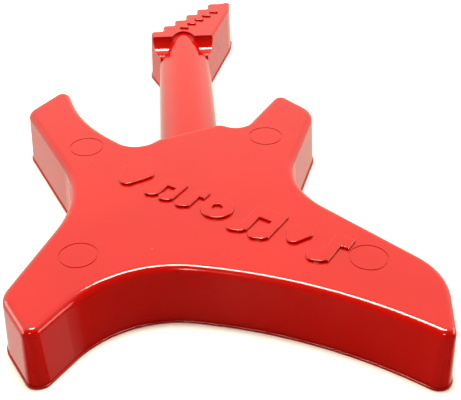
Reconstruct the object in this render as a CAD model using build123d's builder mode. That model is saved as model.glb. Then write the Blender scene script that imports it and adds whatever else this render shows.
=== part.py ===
"""Guitar-shaped guiro: a hollow moulded back shell, a ridged front cover and its screws.

It lies on its front with its flat back upwards: +Z up, neck along +Y, the origin under
the middle of the whole outline. All sizes are millimetres.
"""
import os
from math import atan2, degrees, radians, tan

from build123d import *

# ---- driving sizes of the shell
body_width = 168.0  # across the lobes, at the rim
body_length = 190.0  # along the neck, from the lowest lobe to the highest horn
thickness = 26.0  # cover's edge to flat back
wall = 2.5
back_wall = 2.6
side_draft = 3.2  # degrees, body sides
edge_radius = 3.2  # round between the sides and the back

neck_width = 28.0
neck_length = 88.8  # out of the body to where the neck's shoulders end
neck_joint = 0.5353  # where the neck leaves the body, as a share of the body's length
neck_socket = 0.45  # and where it starts, inside the body
crest_drop = 1.2  # neck's crest below the flat back
nose_width = 17.5
nose_length = 21.5
nose_overlap = 3.5  # the nose starts this far before the shoulders end
nose_bite = 0.1  # and is sunk this far into the headstock all round

head_width = 48.6  # left step to tip, at the rim
head_left = 18.6  # neck's axis to the left step
head_length = 60.0  # lower end to tip
head_overlap = 0.5  # the headstock starts this far before the neck's shoulders end
head_root = 0.5  # and its lower corners lie this far inside the neck's sides
head_skew = 0.7  # the right one this much further up than the left
head_flare = 14.0  # length of the short slanted side on the left
head_steps = 6
step_run = 6.65
step_rise = 7.28
step_corner = 2.8
step_notch = 0.8  # radius in the steps' inner corners
tip_radius = 2.8
tip_drop = 2.9  # last step below the tip
tip_length = 7.5  # slanted end of the last step
tip_bend = 5.0  # radius where that slant starts
heel_drop = 13.5  # tip to the bend in the long right side
heel_inset = 1.5  # and how far that bend lies inside the tip
heel_radius = 40.0
flare_radius = 4.0
head_draft = 2.0
head_edge_radius = 1.4
scoop_depth = 7.6  # hollows beside the neck's nose, below the flat back
scoop_run = 11.5  # their length, from the neck's shoulders

# ---- back details
mark_diameter = 15.2  # round moulding marks over the screw bosses
mark_line = 0.5  # width of the ring
mark_depth = 0.25
relief_height = 1.1
relief_tall = 19.0  # tall figures of the raised band
relief_low = 13.8  # low figures
relief_gap = 1.7
relief_angle = -36.0
relief_x = 10.5  # middle of the raised band, from the neck's axis
relief_y = 36.0  # and from the tail notch
relief_root = 0.3  # figures start this far inside the back
relief_edge = 0.45
head_relief_count = 5
head_relief_pitch = 6.7
head_relief_size = 6.4
head_relief_height = 0.9
head_relief_side = 1.6  # first figure's middle, from the neck's axis
head_relief_rise = 11.0  # and from the upright end of the hollows
head_relief_angle = 49.0

# ---- front cover
cover_edge = 1.0  # thickness of the edge that shows under the shell
cover_overhang = 0.5  # and how far it stands out all round
cover_round = 0.25  # round along that edge
seam_gap = 0.1  # between that edge and the shell's rim
recess = 1.5  # the ridged field is sunk this deep inside the cover's border
border = 2.5
cover_plate = 2.5
lip = 1.3  # shell's thickness around the cover
cover_clearance = 0.15
ridge_pitch = 4.5
ridge_base = 2.8
ridge_crest = 0.9
ridge_margin = 0.9  # ridges' ends to the border, along the neck
ridge_first = 36.0  # tail notch to the first ridge
ridge_last_gap = 9.0  # last ridge to the neck's shoulders
ridge_setback = 0.1  # crests stay this far inside the cover's outer face
slot_length = 38.0
slot_width = 5.0
slot_side = 11.0  # between the ridges' ends and a slot
slot_place = 62.0  # tail notch to the slots' middle

# ---- screws and what they go into
screw_shank = 2.9
screw_length = 12.0
screw_head = 5.6
screw_head_height = 1.9
cross_width = 0.8
cross_length = 3.4
cross_depth = 1.0
boss_diameter = 8.0
cup_diameter = 9.4
cup_height = 5.0  # from the field's outer face
counterbore_depth = 2.6
head_clearance = 0.4
shank_clearance = 0.15
pilot_clearance = 0.05
seat_gap = 0.1  # between a cup and its boss
pilot_spare = 1.0  # pilot hole beyond the screw's end
rib_thickness = 1.6
rib_depth = 5.0

# ---- outline of the body, anticlockwise from the tail's left corner: corner points as shares of
# its width and length from the neck's axis and the tail notch, then the corner's own radius, or,
# for a long sweep, the share of the side behind or ahead of the corner that the sweep takes up
body_corners = [
    (-0.3536, -0.1840, 5.2, "own"),  # left lobe, tail corner
    (-0.1744, 0.0305, 0.38739, "ahead"),  # tail notch
    (0.2619, -0.0630, 0.56994, "behind"),
    (0.5150, -0.2450, 5.2, "own"),  # right lobe, tail corner
    (0.5548, -0.0370, 28.0, "own"),  # right lobe, outer corner
    (0.2369, 0.2842, 0.33709, "ahead"),  # right waist
    (0.3673, 0.5974, 14.0, "own"),  # right horn, outer corner
    (0.2673, 0.7130, 5.2, "own"),  # right horn, tip
    (0.1435, 0.5340, 0.60326, "ahead"),  # right cutaway
    (0.0881, 0.5663, 5.5, "own"),  # right side of the neck
    (-0.0923, 0.5042, 6.0, "own"),  # left side of the neck
    (-0.1470, 0.4616, 0.70255, "behind"),  # left cutaway
    (-0.2893, 0.5921, 0.57475, "behind"),
    (-0.3548, 0.7920, 5.2, "own"),  # left horn, tip
    (-0.4667, 0.6553, 8.0, "own"),  # left horn, outer corner
    (-0.2815, 0.2779, 0.35613, "ahead"),  # left waist
    (-0.4363, -0.0479, 12.0, "own"),  # left lobe, outer corner
]

# screws in the four lobes, as shares of the body's width and length, and one in the headstock
lobe_screws = [(-0.2673, 0.0616), (0.3804, 0.0095), (-0.2768, 0.4695), (0.2048, 0.4847)]
head_screw = (0.22, 0.53)  # shares of the headstock's width and length

os.makedirs("parts", exist_ok=True)

rim = cover_edge + seam_gap  # height of the shell's open edge
neck_radius = neck_width / 2
neck_side = thickness - crest_drop - neck_radius  # height of the neck's sides, below its round back
neck_start = body_length * neck_socket
neck_reach = body_length * neck_joint + neck_length
nose_root = neck_reach - nose_overlap
head_start = neck_reach - head_overlap
scoop_wall = neck_reach + scoop_run
scoop_floor = thickness - scoop_depth
seat = recess + cover_plate  # height of the ledge that the cover lies on
cup_top = recess + cup_height
screw_seat = recess + counterbore_depth
inner_back = thickness - back_wall
passage = 3 * wall  # hollows run this far into each other
head_bevel = screw_head_height / 3
point_bevel = screw_shank / 3
cover_inset = lip + cover_clearance
ridge_length = neck_width - 2 * (cover_inset + border + ridge_margin)

# ---- outlines at the rim, measured from the neck's axis and the tail notch
def body_rounds():
    """Corner points of the body and the radius at each: a sweep follows the sides it joins."""
    points = [Vector(body_width * u, body_length * v) for u, v, _, _ in body_corners]
    radii = []
    for place, (_, _, size, kind) in enumerate(body_corners):
        behind = points[place - 1] - points[place]
        ahead = points[(place + 1) % len(points)] - points[place]
        half_angle = radians(behind.get_angle(ahead)) / 2
        if kind == "behind":
            size *= behind.length * tan(half_angle)
        elif kind == "ahead":
            size *= ahead.length * tan(half_angle)
        radii.append(size)
    return points, radii


with BuildSketch() as body_outline:
    body_points, body_radii = body_rounds()
    with BuildLine():
        FilletPolyline(*body_points, radius=body_radii, close=True)
    make_face()

with BuildSketch() as neck_outline:
    with BuildLine():
        Polyline(
            (-neck_radius, neck_start),
            (neck_radius, neck_start),
            (neck_radius, scoop_wall),
            (-neck_radius, scoop_wall),
            close=True,
        )
    make_face()


def headstock_corners():
    """Corner points and radii of the headstock: two slanted lower sides, the tip, and the
    steps, which climb from the left side to the tip at one pitch across and one along."""
    tip_x = head_width - head_left
    tip_y = head_start + head_length
    last_tread = tip_y - tip_drop
    corners = [
        (head_root - neck_radius, head_start, 0),
        (neck_radius - head_root, head_start + head_skew, 0),
        (tip_x - heel_inset, tip_y - heel_drop, heel_radius),
        (tip_x, tip_y, tip_radius),
        (tip_x - tip_length, last_tread, tip_bend),
    ]
    for step in reversed(range(head_steps)):
        riser_x = step * step_run - head_left
        tread_y = last_tread - (head_steps - 1 - step) * step_rise
        corners.append((riser_x, tread_y, step_corner))
        if step > 0:
            corners.append((riser_x, tread_y - step_rise, step_notch))
    corners.append((-head_left, head_start + head_flare, flare_radius))
    return corners


with BuildSketch() as head_outline:
    head_points = headstock_corners()
    with BuildLine():
        FilletPolyline(
            *[(x, y) for x, y, _ in head_points],
            radius=[corner[2] for corner in head_points],
            close=True,
        )
    make_face()

whole_outline = body_outline.sketch + neck_outline.sketch + head_outline.sketch
outline_box = whole_outline.bounding_box()
# every piece is modelled about the neck's axis and the tail notch, then moved by this
to_middle = Location((-outline_box.center().X, -outline_box.center().Y, 0))


def level(height):
    """Horizontal plane at a height."""
    return Plane.XY.offset(height)


def across(distance):
    """Upright plane square to the neck, at a distance from the tail notch, seen from the tail."""
    return Plane((0, distance, 0), x_dir=(1, 0, 0), z_dir=(0, -1, 0))


def inset_outline(distance):
    """The whole outline drawn in by a distance: body, neck and headstock overlap as before."""
    insets = [
        offset(outline.sketch, amount=-distance, mode=Mode.PRIVATE)
        for outline in (body_outline, neck_outline, head_outline)
    ]
    return insets[0] + insets[1] + insets[2]


def neck_profile(half_width, side, base_height):
    """Section of the neck: upright sides below a half-round back."""
    with BuildLine() as section:
        base = Line((-half_width, base_height), (half_width, base_height))
        right = Line(base @ 1, (half_width, side))
        crown = ThreePointArc(right @ 1, (0, side + half_width), (-half_width, side))
        Line(crown @ 1, base @ 0)
    make_face(section.edges())


def lobe_points():
    return [(body_width * u, body_length * v) for u, v in lobe_screws]


def head_point():
    u, v = head_screw
    return (head_width * u, head_start + head_length * v)


def screw_points():
    return lobe_points() + [head_point()]


def quaver_pair(size):
    """Two beamed notes, as wide as they are tall."""
    with Locations((-size * 0.27, -size * 0.32), (size * 0.25, -size * 0.32)):
        SlotOverall(size * 0.46, size * 0.35, rotation=20)
    with Locations((-size * 0.13, size * 0.05), (size * 0.39, size * 0.05)):
        Rectangle(size * 0.22, size * 0.8)
    with Locations((size * 0.13, size * 0.34)):
        Rectangle(size * 0.74, size * 0.34)


def crotchet(size):
    """One note with a plain stem and a short flag."""
    with Locations((-size * 0.08, -size * 0.31)):
        SlotOverall(size * 0.48, size * 0.38, rotation=20)
    with Locations((size * 0.06, size * 0.06)):
        Rectangle(size * 0.25, size * 0.88)
    with Locations((size * 0.15, size * 0.35)):
        Rectangle(size * 0.42, size * 0.34)


def plectrum(size):
    """Rounded triangle, point down."""
    half = size / 2
    with BuildLine() as edge:
        FilletPolyline(
            (-half * 1.05, half * 0.95),
            (0, -half * 1.1),
            (half * 1.05, half * 0.95),
            radius=size * 0.2,
            close=True,
        )
    make_face(edge.edges())


def disc(size):
    """Record with its centre hole."""
    Circle(size / 2)
    Circle(size * 0.16, mode=Mode.SUBTRACT)


# raised figures in reading order: shape, height, and width as a share of the height
relief_figures = [
    (plectrum, relief_tall, 0.95),
    (quaver_pair, relief_low, 1.0),
    (crotchet, relief_low, 0.62),
    (disc, relief_low, 1.0),
    (quaver_pair, relief_tall, 1.0),
    (plectrum, relief_low, 0.95),
    (crotchet, relief_tall, 0.62),
]
band_length = sum(size * share for _, size, share in relief_figures)
band_length += relief_gap * (len(relief_figures) - 1)

# ---- headstock block, with the two hollows beside the neck's nose and room for the nose itself
with BuildPart() as headstock:
    with BuildSketch(level(rim)):
        add(head_outline.sketch)
    extrude(amount=thickness - rim)
    draft(headstock.faces().filter_by(Axis.Z, reverse=True), level(rim), head_draft)
    fillet(headstock.faces().sort_by(Axis.Z)[-1].edges(), head_edge_radius)
    with BuildSketch(Plane.YZ):
        with BuildLine():
            bed = Line((nose_root, scoop_floor), (scoop_wall - scoop_depth, scoop_floor))
            sweep_up = JernArc(bed @ 1, bed % 1, scoop_depth, 90)
            Polyline(
                sweep_up @ 1,
                (scoop_wall, thickness + edge_radius),
                (nose_root, thickness + edge_radius),
                bed @ 0,
            )
        make_face()
    extrude(amount=head_width, both=True, mode=Mode.SUBTRACT)
    with BuildSketch(level(scoop_floor)):
        with Locations((0, nose_root)):
            Ellipse(nose_width / 2 - nose_bite, nose_length - nose_bite)
    extrude(amount=thickness, mode=Mode.SUBTRACT)

# ---- rounded nose of the neck, which runs out between the two hollows
with BuildPart() as nose:
    with BuildSketch(across(nose_root + nose_length)):
        neck_profile(neck_radius, neck_side, rim)
    extrude(amount=nose_length + neck_radius)
    with BuildSketch(level(rim)):
        with Locations((0, nose_root)):
            Ellipse(nose_width / 2, nose_length)
    extrude(amount=thickness, mode=Mode.INTERSECT)

# ---- raised figures on the back: a band across the body and a small row on the headstock
with BuildPart() as relief:
    along = -band_length / 2
    band = level(thickness - relief_root) * Location((relief_x, relief_y, 0), (0, 0, relief_angle))
    for figure, size, share in relief_figures:
        along += size * share / 2
        with BuildSketch(band * Location((along, 0, 0))):
            figure(size)
        extrude(amount=relief_height + relief_root)
        along += size * share / 2 + relief_gap
    fillet(relief.faces().group_by(Axis.Z)[-1].edges(), relief_edge)

with BuildPart() as head_relief:
    row_start = Location(
        (head_relief_side, scoop_wall + head_relief_rise, 0), (0, 0, head_relief_angle)
    )
    row = level(thickness - relief_root) * row_start
    for figure in range(head_relief_count):
        with BuildSketch(row * Location((figure * head_relief_pitch, 0, 0))):
            plectrum(head_relief_size)
        extrude(amount=head_relief_height + relief_root)
    fillet(head_relief.faces().group_by(Axis.Z)[-1].edges(), relief_edge)

# ---- hollow of the body, with the same lean as its sides
with BuildPart() as body_hollow:
    with BuildSketch(level(rim)):
        add(body_outline.sketch)
        offset(amount=-wall)
    extrude(amount=inner_back - rim)
    draft(body_hollow.faces().filter_by(Axis.Z, reverse=True), level(rim), side_draft)

# ---- back shell: body, neck and headstock in one moulding, open at the front
with BuildPart() as neck:
    with BuildSketch(across(scoop_wall)):
        neck_profile(neck_radius, neck_side, rim)
    extrude(amount=scoop_wall - neck_start)
    with BuildSketch(level(scoop_floor)):
        with Locations((0, neck_reach + head_length / 2)):
            Rectangle(neck_width, head_length)
    extrude(amount=thickness, mode=Mode.SUBTRACT)

with BuildPart() as back_shell:
    with BuildSketch(level(rim)):
        add(body_outline.sketch)
    extrude(amount=thickness - rim)
    draft(back_shell.faces().filter_by(Axis.Z, reverse=True), level(rim), side_draft)
    fillet(back_shell.faces().sort_by(Axis.Z)[-1].edges(), edge_radius)
    add(neck.part)
    add(nose.part)
    add(headstock.part)

    add(body_hollow.part, mode=Mode.SUBTRACT)
    # hollow of the neck
    with BuildSketch(across(neck_reach - wall)):
        neck_profile(neck_radius - wall, neck_side, 0)
    extrude(amount=neck_reach - wall - neck_start + passage, mode=Mode.SUBTRACT)
    # hollow of the headstock: full height beyond the nose, low under the two scoops
    with BuildSketch(level(0)):
        add(head_outline.sketch)
        offset(amount=-wall)
        with Locations((0, nose_root + nose_length + wall)):
            Rectangle(
                head_width * 2,
                head_length * 2,
                align=(Align.CENTER, Align.MAX),
                mode=Mode.SUBTRACT,
            )
    extrude(amount=inner_back, mode=Mode.SUBTRACT)
    with BuildSketch(level(0)):
        add(head_outline.sketch)
        with Locations((0, scoop_wall)):
            Rectangle(
                neck_width, scoop_wall - neck_reach + passage, align=(Align.CENTER, Align.MAX)
            )
        offset(amount=-wall)
    extrude(amount=scoop_floor - back_wall, mode=Mode.SUBTRACT)

    # ribs under the back, between opposite lobes
    for start, end in ((0, 3), (1, 2)):
        spine = Vector(*lobe_points()[end]) - Vector(*lobe_points()[start])
        middle = Vector(*lobe_points()[start]) + spine / 2
        with BuildSketch(level(inner_back - rib_depth)):
            with Locations((middle.X, middle.Y)):
                turn = degrees(atan2(spine.Y, spine.X))
                Rectangle(spine.length, rib_thickness, rotation=turn)
        extrude(amount=rib_depth + back_wall / 2)

    # screw bosses, down to just above the cover's cups
    with BuildSketch(level(cup_top + seat_gap)):
        with Locations(*screw_points()):
            Circle(boss_diameter / 2)
    extrude(amount=inner_back + back_wall / 2 - cup_top - seat_gap)
    with BuildSketch(level(cup_top)):
        with Locations(*screw_points()):
            Circle(screw_shank / 2 + pilot_clearance)
    extrude(amount=screw_seat + screw_length + pilot_spare - cup_top, mode=Mode.SUBTRACT)

    # ledge for the cover inside the rim
    with BuildSketch(level(0)):
        add(inset_outline(lip))
    extrude(amount=seat, mode=Mode.SUBTRACT)

    # faint moulding rings on the back over the lobes' bosses
    with BuildSketch(level(thickness - mark_depth)):
        with Locations(*lobe_points()):
            Circle(mark_diameter / 2)
            Circle(mark_diameter / 2 - mark_line, mode=Mode.SUBTRACT)
    extrude(amount=mark_depth, mode=Mode.SUBTRACT)
    add(relief.part)
    add(head_relief.part)
back_shell.part.move(to_middle)
back_shell.part.label = "back_shell"
export_step(back_shell.part, "parts/back_shell.step")

# ---- front cover: a plate inside the shell, with a thin edge under its rim, and in its sunk
# field the ridges that are scraped to play
with BuildPart() as front_cover:
    with BuildSketch(level(0)):
        add(whole_outline)
        offset(amount=cover_overhang)
    extrude(amount=cover_edge)
    fillet(front_cover.faces().filter_by(Axis.Z).edges(), cover_round)
    with BuildSketch(level(cover_round)):
        add(inset_outline(cover_inset))
    extrude(amount=seat - cover_round)
    with BuildSketch(level(0)):
        add(inset_outline(cover_inset + border))
    extrude(amount=recess, mode=Mode.SUBTRACT)
    with BuildSketch(level(recess)):
        with Locations(*screw_points()):
            Circle(cup_diameter / 2)
    extrude(amount=cup_height)
    with BuildSketch(level(0)):
        with Locations(*screw_points()):
            Circle(screw_head / 2 + head_clearance)
    extrude(amount=screw_seat, mode=Mode.SUBTRACT)
    with BuildSketch(level(recess)):
        with Locations(*screw_points()):
            Circle(screw_shank / 2 + shank_clearance)
    extrude(amount=cup_height, mode=Mode.SUBTRACT)
    slot_x = ridge_length / 2 + slot_side
    with BuildSketch(level(recess)):
        with Locations((-slot_x, slot_place), (slot_x, slot_place)):
            SlotOverall(slot_length, slot_width, rotation=90)
    extrude(amount=cover_plate, mode=Mode.SUBTRACT)
    ridge_count = int((neck_reach - ridge_last_gap - ridge_first) / ridge_pitch)
    with BuildSketch(Plane.YZ):
        for ridge in range(ridge_count):
            place = ridge_first + ridge * ridge_pitch
            with BuildLine():
                Polyline(
                    (place - ridge_base / 2, recess),
                    (place - ridge_crest / 2, ridge_setback),
                    (place + ridge_crest / 2, ridge_setback),
                    (place + ridge_base / 2, recess),
                    close=True,
                )
            make_face()
    extrude(amount=ridge_length / 2, both=True)
front_cover.part.move(to_middle)
front_cover.part.label = "front_cover"
export_step(front_cover.part, "parts/front_cover.step")

# ---- five identical self-tapping screws, heads down in the cover's counterbores
with BuildPart() as cover_screws:
    with BuildSketch(level(screw_seat - screw_head_height)):
        with Locations(*screw_points()):
            Circle(screw_head / 2)
    extrude(amount=screw_head_height)
    chamfer(cover_screws.faces().group_by(Axis.Z)[0].edges(), head_bevel)
    with BuildSketch(level(screw_seat)):
        with Locations(*screw_points()):
            Circle(screw_shank / 2)
    extrude(amount=screw_length)
    chamfer(cover_screws.faces().group_by(Axis.Z)[-1].edges(), point_bevel)
    with BuildSketch(level(screw_seat - screw_head_height)):
        with Locations(*screw_points()):
            Rectangle(cross_length, cross_width)
            Rectangle(cross_width, cross_length)
    extrude(amount=cross_depth, mode=Mode.SUBTRACT)
cover_screws.part.move(to_middle)
cover_screws.part.label = "cover_screws"
export_step(cover_screws.part, "parts/cover_screws.step")
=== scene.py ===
"""A guitar-shaped guiro of glossy red plastic, lying on its ridged front with its flat back up."""
import math

import bmesh
import bpy
from mathutils import Matrix, Vector

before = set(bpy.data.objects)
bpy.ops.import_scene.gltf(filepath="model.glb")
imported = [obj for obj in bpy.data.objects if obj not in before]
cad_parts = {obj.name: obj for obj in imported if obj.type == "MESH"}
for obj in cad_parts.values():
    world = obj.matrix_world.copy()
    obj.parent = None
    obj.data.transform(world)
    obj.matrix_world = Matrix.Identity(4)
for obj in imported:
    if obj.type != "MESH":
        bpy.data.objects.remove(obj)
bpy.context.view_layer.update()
scene = bpy.context.scene

# ---------------------------------------------------------------- back shell
# Body, neck and headstock of the guitar in one hollow injection moulding of red polystyrene.
# Straight from a polished mould, it is glossy, with a faint ripple, cloudy flow marks in the
# colour and a few specks of dust moulded in.


def linear(code):
    """Linear colour of an sRGB hex code."""
    parts = [int(code[k:k + 2], 16) / 255 for k in (1, 3, 5)]
    return [c / 12.92 if c <= 0.04045 else ((c + 0.055) / 1.055) ** 2.4 for c in parts] + [1]


def node(tree, kind, links=(), **settings):
    """Adds a node, sets its properties and inputs by name, and links sockets into it."""
    made = tree.nodes.new(kind)
    for key, value in settings.items():
        if hasattr(made, key):
            setattr(made, key, value)
        else:
            made.inputs[key.replace("_", " ")].default_value = value
    for source, target in links:
        tree.links.new(source, made.inputs[target])
    return made


shell_red = linear("#AD0B03")
flow_red = linear("#9F0702")
dust_pink = linear("#E58A7E")
flow_mark_size = 0.035
ripple_size = 0.004
grain_size = 0.0006
dust_spacing = 0.011
shell_plastic = bpy.data.materials.new("polished_red_polystyrene")
shell_plastic.use_nodes = True
tree = shell_plastic.node_tree
shader = tree.nodes["Principled BSDF"]
shader.inputs["IOR"].default_value = 1.55
where = node(tree, "ShaderNodeTexCoord").outputs["Object"]
flow = node(tree, "ShaderNodeTexNoise", [(where, "Vector")], Scale=1 / flow_mark_size, Detail=3.0)
body_colour = node(tree, "ShaderNodeMix", [(flow.outputs["Fac"], "Factor")], data_type="RGBA")
body_colour.inputs["A"].default_value = flow_red
body_colour.inputs["B"].default_value = shell_red
speck = node(tree, "ShaderNodeTexVoronoi", [(where, "Vector")], Scale=1 / dust_spacing)
dust = node(tree, "ShaderNodeMapRange", [(speck.outputs["Distance"], "Value")], From_Min=0.016,
            From_Max=0.026, To_Min=0.7, To_Max=0.0)
dusty_colour = node(tree, "ShaderNodeMix", [(dust.outputs["Result"], "Factor"),
                                            (body_colour.outputs["Result"], "A")],
                    data_type="RGBA")
dusty_colour.inputs["B"].default_value = dust_pink
tree.links.new(dusty_colour.outputs["Result"], shader.inputs["Base Color"])
polish = node(tree, "ShaderNodeMapRange", [(flow.outputs["Fac"], "Value")], From_Min=0.3,
              From_Max=0.7, To_Min=0.07, To_Max=0.16)
tree.links.new(polish.outputs["Result"], shader.inputs["Roughness"])
ripple = node(tree, "ShaderNodeTexNoise", [(where, "Vector")], Scale=1 / ripple_size, Detail=1.0)
rippled = node(tree, "ShaderNodeBump", [(ripple.outputs["Fac"], "Height")], Strength=0.5,
               Distance=0.00002)
grain = node(tree, "ShaderNodeTexNoise", [(where, "Vector")], Scale=1 / grain_size, Detail=2.0)
grained = node(tree, "ShaderNodeBump", [(grain.outputs["Fac"], "Height"),
                                        (rippled.outputs["Normal"], "Normal")],
               Strength=0.25, Distance=0.000004)
tree.links.new(grained.outputs["Normal"], shader.inputs["Normal"])
back_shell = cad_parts["back_shell"]
back_shell.data.materials.clear()
back_shell.data.materials.append(shell_plastic)

# ---------------------------------------------------------------- front cover
# Ridged plate of the same red polystyrene, pushed into the open shell; its edge shows as a thin
# line under the shell's rim. It is less polished than the back, and the crests of the ridges and
# the border, which are scraped and stood on, are rubbed dull and paler.
rubbed_red = linear("#CC4A3C")
rub_size = 0.003
rub_depth = 0.0007
cover_plastic = bpy.data.materials.new("rubbed_red_polystyrene")
cover_plastic.use_nodes = True
tree = cover_plastic.node_tree
shader = tree.nodes["Principled BSDF"]
shader.inputs["IOR"].default_value = 1.55
where = node(tree, "ShaderNodeTexCoord").outputs["Object"]
flow = node(tree, "ShaderNodeTexNoise", [(where, "Vector")], Scale=1 / flow_mark_size, Detail=3.0)
plate_colour = node(tree, "ShaderNodeMix", [(flow.outputs["Fac"], "Factor")], data_type="RGBA")
plate_colour.inputs["A"].default_value = flow_red
plate_colour.inputs["B"].default_value = shell_red
height = node(tree, "ShaderNodeSeparateXYZ", [(where, "Vector")])
crest = node(tree, "ShaderNodeMapRange", [(height.outputs["Z"], "Value")], From_Min=0.0,
             From_Max=rub_depth, To_Min=1.0, To_Max=0.0)
rub = node(tree, "ShaderNodeTexNoise", [(where, "Vector")], Scale=1 / rub_size, Detail=4.0)
patches = node(tree, "ShaderNodeMapRange", [(rub.outputs["Fac"], "Value")], From_Min=0.4,
               From_Max=0.65, To_Min=0.05, To_Max=0.6)
wear = node(tree, "ShaderNodeMath", [(crest.outputs["Result"], 0), (patches.outputs["Result"], 1)],
            operation="MULTIPLY")
worn_colour = node(tree, "ShaderNodeMix", [(wear.outputs["Value"], "Factor"),
                                           (plate_colour.outputs["Result"], "A")],
                   data_type="RGBA")
worn_colour.inputs["B"].default_value = rubbed_red
tree.links.new(worn_colour.outputs["Result"], shader.inputs["Base Color"])
dulled = node(tree, "ShaderNodeMapRange", [(wear.outputs["Value"], "Value")], To_Min=0.12,
              To_Max=0.5)
tree.links.new(dulled.outputs["Result"], shader.inputs["Roughness"])
scuffed = node(tree, "ShaderNodeBump", [(rub.outputs["Fac"], "Height")], Strength=0.4,
               Distance=0.00002)
tree.links.new(scuffed.outputs["Normal"], shader.inputs["Normal"])
front_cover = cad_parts["front_cover"]
front_cover.data.materials.clear()
front_cover.data.materials.append(cover_plastic)

# ---------------------------------------------------------------- cover screws
# Five cross-head self-tapping screws of zinc-plated steel, driven into the shell's bosses from
# the front. The plating is bright with duller blooms, over fine turning marks.
bright_zinc = linear("#C9CCCB")
dull_zinc = linear("#9A9C98")
bloom_size = 0.0012
# turning marks are drawn about ten times as coarse as real ones, so that they show
turning_pitch = 0.0002
screw_steel = bpy.data.materials.new("zinc_plated_steel")
screw_steel.use_nodes = True
tree = screw_steel.node_tree
shader = tree.nodes["Principled BSDF"]
shader.inputs["Metallic"].default_value = 1.0
where = node(tree, "ShaderNodeTexCoord").outputs["Object"]
bloom = node(tree, "ShaderNodeTexNoise", [(where, "Vector")], Scale=1 / bloom_size, Detail=4.0)
plating = node(tree, "ShaderNodeMix", [(bloom.outputs["Fac"], "Factor")], data_type="RGBA")
plating.inputs["A"].default_value = dull_zinc
plating.inputs["B"].default_value = bright_zinc
tree.links.new(plating.outputs["Result"], shader.inputs["Base Color"])
sheen = node(tree, "ShaderNodeMapRange", [(bloom.outputs["Fac"], "Value")], From_Min=0.3,
             From_Max=0.7, To_Min=0.4, To_Max=0.24)
tree.links.new(sheen.outputs["Result"], shader.inputs["Roughness"])
# a wave texture of scale 1 repeats every twentieth of a unit
turning = node(tree, "ShaderNodeTexWave", [(where, "Vector")], Scale=1 / turning_pitch / 20,
               bands_direction="Z", Distortion=0.6)
turned = node(tree, "ShaderNodeBump", [(turning.outputs["Fac"], "Height")], Strength=0.3,
              Distance=0.00001)
tree.links.new(turned.outputs["Normal"], shader.inputs["Normal"])
cover_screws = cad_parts["cover_screws"]
cover_screws.data.materials.clear()
cover_screws.data.materials.append(screw_steel)

# ---------------------------------------------------------------- floor
# A wide sheet of white paper under the guiro, with a faint cloudiness. It isn't mirrored in the
# plastic, so the side that faces the camera stays deep red, as between dark studio flags.
floor_size = 3.0
floor_drop = 0.00005
cloud_size = 0.2
sheet = bmesh.new()
bmesh.ops.create_grid(sheet, x_segments=1, y_segments=1, size=floor_size)
bmesh.ops.translate(sheet, verts=sheet.verts, vec=(0, 0, -floor_drop))
floor_mesh = bpy.data.meshes.new("floor")
sheet.to_mesh(floor_mesh)
sheet.free()
floor = bpy.data.objects.new("floor", floor_mesh)
scene.collection.objects.link(floor)
floor.visible_glossy = False
paper = bpy.data.materials.new("white_paper")
paper.use_nodes = True
tree = paper.node_tree
shader = tree.nodes["Principled BSDF"]
shader.inputs["Roughness"].default_value = 0.9
shader.inputs["Specular IOR Level"].default_value = 0.2
where = node(tree, "ShaderNodeTexCoord").outputs["Object"]
cloud = node(tree, "ShaderNodeTexNoise", [(where, "Vector")], Scale=1 / cloud_size)
paper_colour = node(tree, "ShaderNodeMix", [(cloud.outputs["Fac"], "Factor")], data_type="RGBA")
paper_colour.inputs["A"].default_value = linear("#F6F6F6")
paper_colour.inputs["B"].default_value = linear("#F9F9F9")
tree.links.new(paper_colour.outputs["Result"], shader.inputs["Base Color"])
floor_mesh.materials.append(paper)

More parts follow.
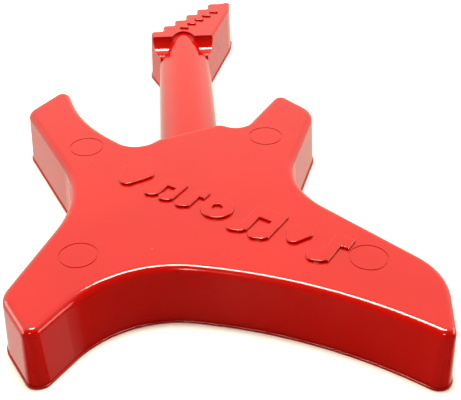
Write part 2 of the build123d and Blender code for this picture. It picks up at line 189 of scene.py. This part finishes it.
# ---------------------------------------------------------------- studio light
# A warm white room, bright beyond the guiro and dark behind the camera, with a softbox overhead,
# a small window for the corners, and plain fill from both sides.
room = bpy.data.worlds.new("room")
room.use_nodes = True
tree = room.node_tree
background = tree.nodes["Background"]
background.inputs["Color"].default_value = (1.0, 0.93, 0.78, 1)
direction = node(tree, "ShaderNodeTexCoord").outputs["Generated"]
split = node(tree, "ShaderNodeSeparateXYZ", [(direction, "Vector")])
ahead = node(tree, "ShaderNodeMapRange", [(split.outputs["Y"], "Value")], From_Min=-0.15,
             From_Max=0.3, To_Min=0.03, To_Max=1.0)
above = node(tree, "ShaderNodeMapRange", [(split.outputs["Z"], "Value")], From_Min=-0.1,
             From_Max=0.15, To_Min=1.0, To_Max=1.22)
brightness = node(tree, "ShaderNodeMath", [(ahead.outputs["Result"], 0),
                                           (above.outputs["Result"], 1)], operation="MULTIPLY")
tree.links.new(brightness.outputs["Value"], background.inputs["Strength"])
scene.world = room


def soft_light(name, place, size, power, gloss=1.0):
    """A rectangular lamp that faces the guiro; gloss is how much it shows in reflections."""
    data = bpy.data.lights.new(name, "AREA")
    data.shape = "RECTANGLE"
    data.size, data.size_y = size
    data.energy = power
    data.specular_factor = gloss
    data.color = (1.0, 0.90, 0.75)
    lamp = bpy.data.objects.new(name, data)
    lamp.location = place
    towards = Vector((0, 0, 0.01)) - Vector(place)
    lamp.rotation_euler = towards.to_track_quat("-Z", "Y").to_euler()
    scene.collection.objects.link(lamp)


soft_light("overhead_softbox", (0.0, 0.04, 0.9), (0.5, 0.24), 14.0)
soft_light("small_window", (-0.22, -0.75, 0.62), (0.14, 0.10), 1.0)
soft_light("left_fill", (-1.2, 0.1, 0.3), (1.0, 0.5), 6.0, gloss=0.0)
soft_light("right_fill", (1.2, 0.1, 0.3), (1.0, 0.5), 6.0, gloss=0.0)
scene.view_settings.view_transform = "Standard"

# ---------------------------------------------------------------- camera
# Stands behind the guitar's tail, a little to the left, looking down along the neck.
camera_data = bpy.data.cameras.new("camera")
camera_data.sensor_width = 36.0
camera_data.lens = 69.0
camera_data.dof.use_dof = False
camera_data.clip_start = 0.01
camera = bpy.data.objects.new("camera", camera_data)
camera.location = (-0.0117, -0.3548, 0.2356)
pitch = math.radians(35.37)
heading = math.radians(-3.8)
roll = math.radians(-0.46)
look = Matrix.Rotation(heading, 4, "Z") @ Matrix.Rotation(math.pi / 2 - pitch, 4, "X")
camera.rotation_mode = "QUATERNION"
camera.rotation_quaternion = (look @ Matrix.Rotation(roll, 4, "Z")).to_quaternion()
scene.collection.objects.link(camera)
scene.camera = camera
